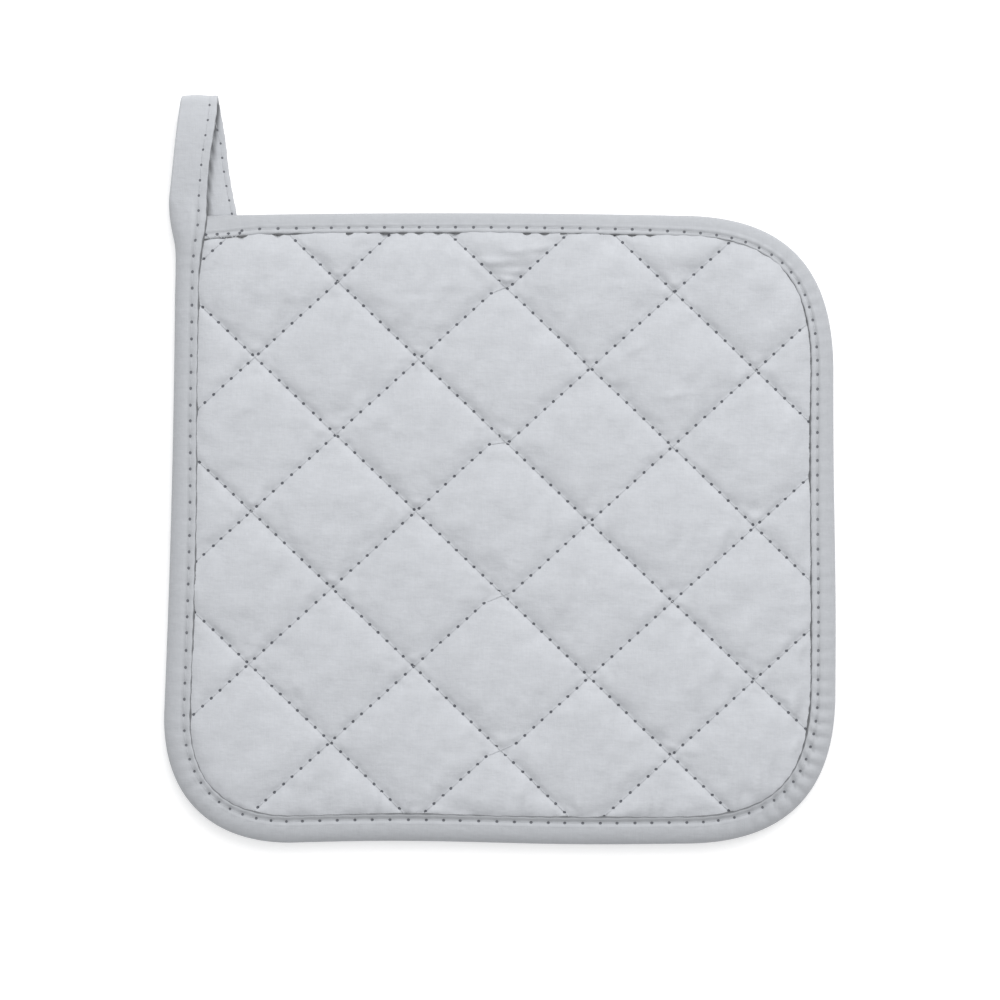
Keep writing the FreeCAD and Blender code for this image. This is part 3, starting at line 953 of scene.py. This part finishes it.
    def stitches(self, name, side):
        """Thread and needle holes along the tape, on its front or back face; each hole is a small cup in
        painted shade.
        """
        parts = Parts()
        for start, end in zip(self.holes[:-1], self.holes[1:]):
            s = start + (end - start) * STITCH_T
            slant = 0.12 * mm * (1 + 2 * self.corner_share(s)) * (STITCH_T - 0.5)
            place, out = self.outer(s, self.row_setback(s) + slant, side)
            place = self.seated(place, out)
            thread_tube(parts, place + out * (STITCH_RISE - SUNK)[:, None], out, THREAD)
        for hole in self.holes:
            radius = PIT * by_share(hole, PIT_SHRINK)
            rings = []
            for share, lift in PIT_RINGS:
                around = hole + 1.15 * radius * share * np.cos(PIT_ANGLES)
                setback = self.row_setback(hole) + radius * share * np.sin(PIT_ANGLES)
                place, out = self.outer(around, setback, side)
                rings.append(self.seated(place, out) + out * lift)
            parts.grid(np.array(rings), 1)
        return parts.piece(name, [THREAD_LOOK, TAPE_PIT_SHADE_LOOK])


# --- materials ---

class Nodes:
    """A material's node tree, with short calls for the nodes used here."""

    def __init__(self, name, colour, roughness, **fixed):
        self.material = bpy.data.materials.new(name)
        self.material.use_nodes = True
        self.tree = self.material.node_tree
        self.shader = self.tree.nodes["Principled BSDF"]
        self.shader.inputs["Base Color"].default_value = (*colour, 1)
        self.colour = colour
        self.shader.inputs["Roughness"].default_value = roughness
        for socket, value in fixed.items():
            self.shader.inputs[socket.replace("_", " ")].default_value = value
        self.place = self.new("ShaderNodeTexCoord", {}, "Object")

    def new(self, kind, inputs, output, **settings):
        """A node's output; each input is linked or set to a number."""
        node = self.tree.nodes.new(kind)
        for key, value in settings.items():
            setattr(node, key, value)
        for key, value in inputs.items():
            if isinstance(value, bpy.types.NodeSocket):
                self.link(value, node.inputs[key])
            else:
                node.inputs[key].default_value = value
        return node.outputs[output]

    def link(self, output, socket):
        self.tree.links.new(output, socket)

    def stretched(self, scale, turn=0.0):
        inputs = {"Vector": self.place, "Scale": scale, "Rotation": (0, 0, turn)}
        return self.new("ShaderNodeMapping", inputs, "Vector")

    def noise(self, scale, detail=2.0, turn=0.0):
        """Noise with its own scale along X, Y and Z, in bumps per metre."""
        inputs = {"Vector": self.stretched(scale, turn), "Scale": 1.0, "Detail": detail}
        return self.new("ShaderNodeTexNoise", inputs, "Fac")

    def threads(self, pitch, axis, turn):
        """Rounded threads side by side across an axis."""
        inputs = {"Vector": self.stretched([pi / 10 / pitch] * 3, turn), "Scale": 1.0,
                  "Distortion": 1.2, "Detail": 1.0, "Detail Scale": 0.25}
        return self.new("ShaderNodeTexWave", inputs, "Fac",
                        wave_type="BANDS", bands_direction=axis, wave_profile="SIN")

    def math(self, operation, a, b):
        return self.new("ShaderNodeMath", {0: a, 1: b}, 0, operation=operation)

    def times(self, first, *others):
        for other in others:
            first = self.math("MULTIPLY", first, other)
        return first

    def spread(self, value, low, high):
        """Map 0.25 to 0.75 onto low to high."""
        inputs = {"Value": value, "From Min": 0.25, "From Max": 0.75, "To Min": low, "To Max": high}
        return self.new("ShaderNodeMapRange", inputs, "Result")

    def tinted(self, shade):
        """The base colour times a shade."""
        inputs = {0: self.colour, "Scale": shade}
        tint = self.new("ShaderNodeVectorMath", inputs, "Vector", operation="SCALE")
        self.link(tint, self.shader.inputs["Base Color"])

    def bump(self, height, distance, strength, under=None):
        inputs = {"Height": height, "Distance": distance, "Strength": strength}
        if under is not None:
            inputs["Normal"] = under
        return self.new("ShaderNodeBump", inputs, "Normal")

    def done(self, normal):
        self.link(normal, self.shader.inputs["Normal"])
        return self.material


def cloth_look(name, colour, turn):
    """Fine plain-woven cotton: two sets of threads, uneven yarns and faint creases, with painted shade
    and painted highlight read from the mesh.
    """
    look = Nodes(name, colour, 0.82, Sheen_Weight=0.22, Sheen_Roughness=0.5, Specular_IOR_Level=0.25)
    warp = look.threads(0.36 * mm, "X", turn)
    weft = look.threads(0.36 * mm, "Y", turn)
    weave = look.times(warp, weft)
    weft_slubs = look.noise((260, 2600, 260), turn=turn)
    warp_slubs = look.noise((2600, 260, 260), turn=turn)
    slubs = look.times(look.math("ADD", weft_slubs, warp_slubs), 0.5)
    mottle = look.noise((700, 700, 700), detail=3)
    clouds = look.noise((38, 38, 38))
    # folds is the painted shade stored on the mesh (a painted highlight where below 0); it darkens or
    # lightens the base colour
    folds = look.new("ShaderNodeAttribute", {}, "Fac", attribute_name="painted_shade_and_highlight")
    look.tinted(look.times(
        look.spread(slubs, 0.955, 1.045), look.spread(mottle, 0.975, 1.025),
        look.spread(clouds, 0.985, 1.015), look.spread(weave, 0.985, 1.015),
        look.math("SUBTRACT", 1.0, look.times(folds, 0.74))))
    look.link(look.spread(mottle, 0.76, 0.88), look.shader.inputs["Roughness"])
    creases = look.bump(look.noise((150, 260, 150), detail=4), 0.45 * mm, 0.8)
    yarns = look.bump(slubs, 0.10 * mm, 0.7, creases)
    return look.done(look.bump(weave, 0.05 * mm, 0.6, yarns))


def thread_look():
    """Twisted sewing thread."""
    look = Nodes("quilting_thread", (0.50, 0.515, 0.54), 0.6, Sheen_Weight=0.1, Specular_IOR_Level=0.3)
    twist = look.threads(0.22 * mm, "X", radians(30))
    look.tinted(look.spread(twist, 0.88, 1.08))
    return look.done(look.bump(twist, 0.05 * mm, 0.8))


def pit_shade_look(name, colour):
    """Painted shade for the inside of a needle hole: a dark cup where the hole lies in shadow."""
    look = Nodes(name, colour, 0.95, Specular_IOR_Level=0.1)
    fuzz = look.noise((1800, 1800, 1800))
    look.tinted(look.spread(fuzz, 0.8, 1.2))
    return look.done(look.bump(fuzz, 0.05 * mm, 0.5))


def wadding_look():
    """White matted fibres."""
    look = Nodes("cotton_wadding", (0.80, 0.79, 0.76), 0.95, Sheen_Weight=0.3, Specular_IOR_Level=0.2)
    fibres = look.noise((900, 5200, 900), detail=4)
    look.tinted(look.spread(fibres, 0.92, 1.06))
    return look.done(look.bump(fibres, 0.3 * mm, 0.8))


def floor_look():
    """A plain pale floor that glows a little, so that it renders near white."""
    look = Nodes("studio_floor", (0.80, 0.80, 0.80), 0.9, Specular_IOR_Level=0.2,
                 Emission_Color=(1, 1, 1, 1), Emission_Strength=0.34)
    grain = look.noise((60, 60, 60), detail=3)
    look.tinted(look.spread(grain, 0.995, 1.005))
    return look.done(look.bump(grain, 0.05 * mm, 0.2))


COVER_LOOK = cloth_look("cover_cloth", (0.540, 0.555, 0.583), 0.0)
TAPE_LOOK = cloth_look("binding_cloth", (0.508, 0.523, 0.549), radians(3))
THREAD_LOOK = thread_look()
# dark cups over the needle holes: painted shade
PIT_SHADE_LOOK = pit_shade_look("hole_painted_shade", (0.12, 0.125, 0.14))
TAPE_PIT_SHADE_LOOK = pit_shade_look("tape_hole_painted_shade", (0.15, 0.155, 0.17))
WADDING_LOOK = wadding_look()

# --- build: covers and their quilting ---
LATTICE = Lattice(19, 3.2 * mm)
HOLES = quilting_holes()
ALL_HOLES = np.concatenate(list(HOLES.values()))
TAPE_LINE = Tape()
EDGE_DIPS = TAPE_LINE.edge_dips()


def shown_share(points):
    """0 under the binding and 1 outside it."""
    distance, place = edge_distance(points)
    return smoothstep((distance - width_at(place)) / (1.5 * mm))


def cover_faces(side, seed):
    """A cover's outer and inner points, its faces and its painted shade; side 1 is the front, -1 the
    back.
    """
    outer, faces = cloth_cover(seed)
    creases = CREASES if side > 0 else random_creases(30, seed)
    share = shown_share(outer)
    # painted shade where creases and wrinkles fall to the right, painted highlight where they rise
    shade = crease_shades(outer, creases, seed) * share
    bumps = crease_height(outer, creases + crossing_folds(seed)) + wrinkle_height(outer, seed)
    outer[:, 2] += bumps * share
    press = hole_distance(outer, ALL_HOLES)
    outer[:, 2] -= 0.5 * mm * np.exp(-(press / (0.75 * mm)) ** 2)
    outer[:, 2] -= 0.6 * mm * np.exp(-(hole_distance(outer, EDGE_DIPS) / (1.1 * mm)) ** 2)
    if side < 0:
        outer[:, 2] = 2 * MID_Z - outer[:, 2]
        faces = faces[:, ::-1]
    inner = outer - vertex_normals(outer, faces) * COVER
    return outer, inner, faces, np.concatenate([shade, 0 * shade])


def cover_piece(name, node, side, seed):
    outer, inner, faces, shade = cover_faces(side, seed)
    points, shell = closed_shell(outer, inner, faces)
    piece = mesh_piece(name, points, shell, [COVER_LOOK])
    write_shade(piece, shade)
    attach(piece, "pad")
    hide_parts(node)
    surface = Surface(outer, faces, side)
    return piece, surface


def wadding_piece(name, node, surface, side):
    """Padding under a cover, closed flat at the middle of the pad."""
    clearance = 0.35 * mm + COVER
    xy = LATTICE.xy
    under = [surface.at(x, y)[0] for x, y in xy]
    near = np.array([MID_Z if place is None else place[2] for place in under])
    height = np.clip(side * (near - MID_Z) - clearance, 0.25 * mm, None)
    top = np.column_stack([xy, MID_Z + side * height])
    bottom = np.column_stack([xy, np.full(len(xy), MID_Z + side * 0.05 * mm)])
    faces = LATTICE.faces if side > 0 else LATTICE.faces[:, ::-1]
    points, shell = closed_shell(top, bottom, faces)
    piece = mesh_piece(name, points, shell, [WADDING_LOOK])
    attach(piece, "pad")
    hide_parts(node)
    return piece


for side, face, seed, thread in ((1, "front", 3, "needle"), (-1, "back", 8, "bobbin")):
    cover, surface = cover_piece(f"{face}_cover_cloth", f"{face}_cover", side, seed)
    wadding = wadding_piece(f"{face}_wadding_fill", f"{face}_wadding", surface, side)
    for row, holes in HOLES.items():
        stitches = cover_stitches(f"{row}_{thread}_stitches", holes, surface)
        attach(stitches, "pad")
        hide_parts(f"{row}_{thread}_thread")

# --- build: tape and its stitches ---
TACK_LEFT, TACK_RIGHT, TACK_STITCH = -97.0, -85.5, 1.85     # millimetres
TACK_Y = 77.1 * mm
TACK_SWING = 0.75 * mm          # the back-tacked stitches zigzag a little
TACK_SLOPE = 0.05
TACK_MIDDLE = -0.0915

tape = TAPE_LINE.piece("binding_and_loop_tape", [TAPE_LOOK])
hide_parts("edge_binding", "hanging_loop")
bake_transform(tape)

for name, side, nodes in (
    ("binding_needle_stitches", 1, ("binding_needle_thread", "loop_front_thread")),
    ("binding_bobbin_stitches", -1, ("binding_bobbin_thread", "loop_rear_thread")),
):
    stitches = TAPE_LINE.stitches(name, side)
    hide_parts(*nodes)
    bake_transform(stitches)

tape_surface = Surface(mesh_points(tape.data), [tuple(f.vertices) for f in tape.data.polygons], 1)
tack_x = np.arange(TACK_LEFT, TACK_RIGHT, TACK_STITCH) * mm
tack_y = TACK_Y + TACK_SWING * (-1.0) ** np.arange(len(tack_x)) + TACK_SLOPE * (tack_x - TACK_MIDDLE)
tack = cover_stitches("corner_tack_stitches", np.column_stack([tack_x, tack_y]), tape_surface)
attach(tack, "pad")
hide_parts("corner_tack_thread")

# --- stage, light and camera ---
FLOOR_HALF = 4.0
FLOOR_Z = -0.05 * mm
corners = ((-1, -1), (1, -1), (1, 1), (-1, 1))
floor_corners = [(x * FLOOR_HALF, y * FLOOR_HALF, FLOOR_Z) for x, y in corners]
floor = mesh_piece("studio_floor", floor_corners, [(0, 1, 2, 3)], [floor_look()])

world = bpy.data.worlds.new("soft_studio")
world.use_nodes = True
background = world.node_tree.nodes["Background"].inputs
background["Color"].default_value = (0.985, 0.99, 1.0, 1)
background["Strength"].default_value = 0.42
bpy.context.scene.world = world


def soft_light(name, place, size, power):
    light = bpy.data.lights.new(name, "AREA")
    light.shape = "SQUARE"
    light.size = size
    light.energy = power
    lamp = bpy.data.objects.new(name, light)
    lamp.location = place
    lamp.rotation_euler = (-Vector(place)).to_track_quat("-Z", "Y").to_euler()
    bpy.context.collection.objects.link(lamp)


soft_light("upper_light", (0.45, 1.30, 1.35), 1.8, 30)
soft_light("overhead_light", (0, 0, 1.9), 1.3, 11.0)

VIEW_WIDTH = 0.3293             # width of the picture at the pad's face
VIEW_Y = -0.0099                # middle of the picture
CAMERA_HEIGHT = 1.5
SENSOR_MM = 36
camera = bpy.data.cameras.new("camera")
camera.sensor_width = SENSOR_MM
camera.lens = SENSOR_MM * (CAMERA_HEIGHT - FACE_Z) / VIEW_WIDTH
camera_object = bpy.data.objects.new("camera", camera)
camera_object.location = (0, VIEW_Y, CAMERA_HEIGHT)
bpy.context.collection.objects.link(camera_object)
bpy.context.scene.camera = camera_object
bpy.context.scene.view_settings.view_transform = "Standard"
